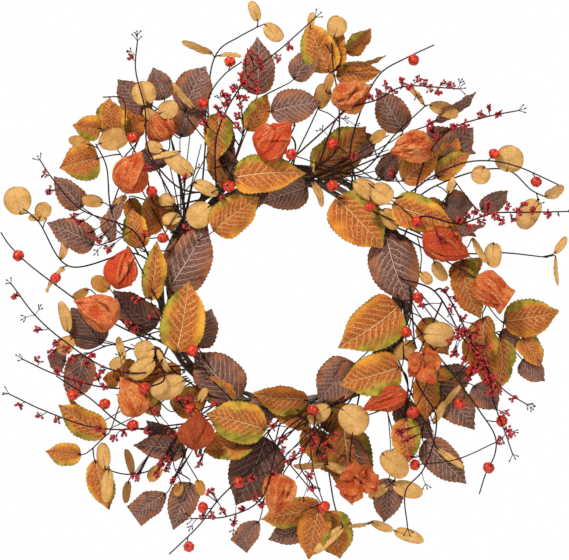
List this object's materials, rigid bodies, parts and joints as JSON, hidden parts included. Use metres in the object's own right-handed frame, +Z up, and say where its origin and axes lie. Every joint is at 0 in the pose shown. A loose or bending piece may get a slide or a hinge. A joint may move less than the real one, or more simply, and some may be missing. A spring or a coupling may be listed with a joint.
{
  "type": "harvest door wreath",
  "caption": "Autumn door wreath: a twisted vine ring with wired picks of leaves, lantern husks, mini pumpkins and berries, and a swinging wire hanging loop.",
  "frame": {"origin": "the hook's seat, at the inner top of the wire hanging loop", "axes": "+Z up as it hangs, +Y towards the door behind it, so the front faces -Y, +X to the viewer's right"},
  "size_m": [0.6081, 0.1141, 0.5831],
  "materials": {
    "cane": "dark grapevine bark, matte",
    "wire": "dark brown florist's wire",
    "orange_leaf": "printed polyester leaf, orange and yellow with green edges",
    "brown_leaf": "printed polyester leaf, mauve-brown with pale veins",
    "eucalyptus": "tan speckled leaf",
    "husk": "papery orange-red lantern husk",
    "pumpkin": "glossy red mini pumpkin on dark wire",
    "berry": "crimson berries on dark twigs"
  },
  "bodies": {
    "wreath": {"vine_1": "cane", "vine_2": "cane", "vine_3": "cane", "vine_4": "cane", "vine_5": "cane", "tie_wire_1": "wire", "tie_wire_2": "wire", "tie_wire_3": "wire", "hanger_eye": "wire", "physalis_1": "husk", "physalis_2": "husk", "physalis_3": "husk", "physalis_4": "husk", "physalis_5": "husk", "physalis_6": "husk", "physalis_7": "husk", "physalis_8": "husk", "physalis_9": "husk", "physalis_10": "husk", "physalis_11": "husk", "physalis_12": "husk", "physalis_13": "husk", "physalis_14": "husk", "physalis_15": "husk", "pumpkins_1": "pumpkin", "pumpkins_2": "pumpkin", "pumpkins_3": "pumpkin", "pumpkins_4": "pumpkin", "pumpkins_5": "pumpkin", "pumpkins_6": "pumpkin", "berries_1": "berry", "berries_2": "berry", "berries_3": "berry", "berries_4": "berry", "berries_5": "berry", "berries_6": "berry", "berries_7": "berry", "berries_8": "berry", "eucalyptus_1": "eucalyptus", "eucalyptus_2": "eucalyptus", "eucalyptus_3": "eucalyptus", "eucalyptus_4": "eucalyptus", "eucalyptus_5": "eucalyptus", "eucalyptus_6": "eucalyptus", "eucalyptus_7": "eucalyptus", "orange_leaves_1": "orange_leaf", "orange_leaves_2": "orange_leaf", "orange_leaves_3": "orange_leaf", "orange_leaves_4": "orange_leaf", "orange_leaves_5": "orange_leaf", "orange_leaves_6": "orange_leaf", "orange_leaves_7": "orange_leaf", "brown_leaves_1": "brown_leaf", "brown_leaves_2": "brown_leaf", "brown_leaves_3": "brown_leaf", "brown_leaves_4": "brown_leaf", "brown_leaves_5": "brown_leaf", "brown_leaves_6": "brown_leaf"},
    "loop": {"hanging_loop": "wire"}
  },
  "joints": [
    {"name": "loop_swing", "type": "hinge", "parent": "wreath", "child": "loop", "pos_m": [0, 0, -0.038], "axis": [1, 0, 0], "range_deg": [-180, 0]}
  ]
}
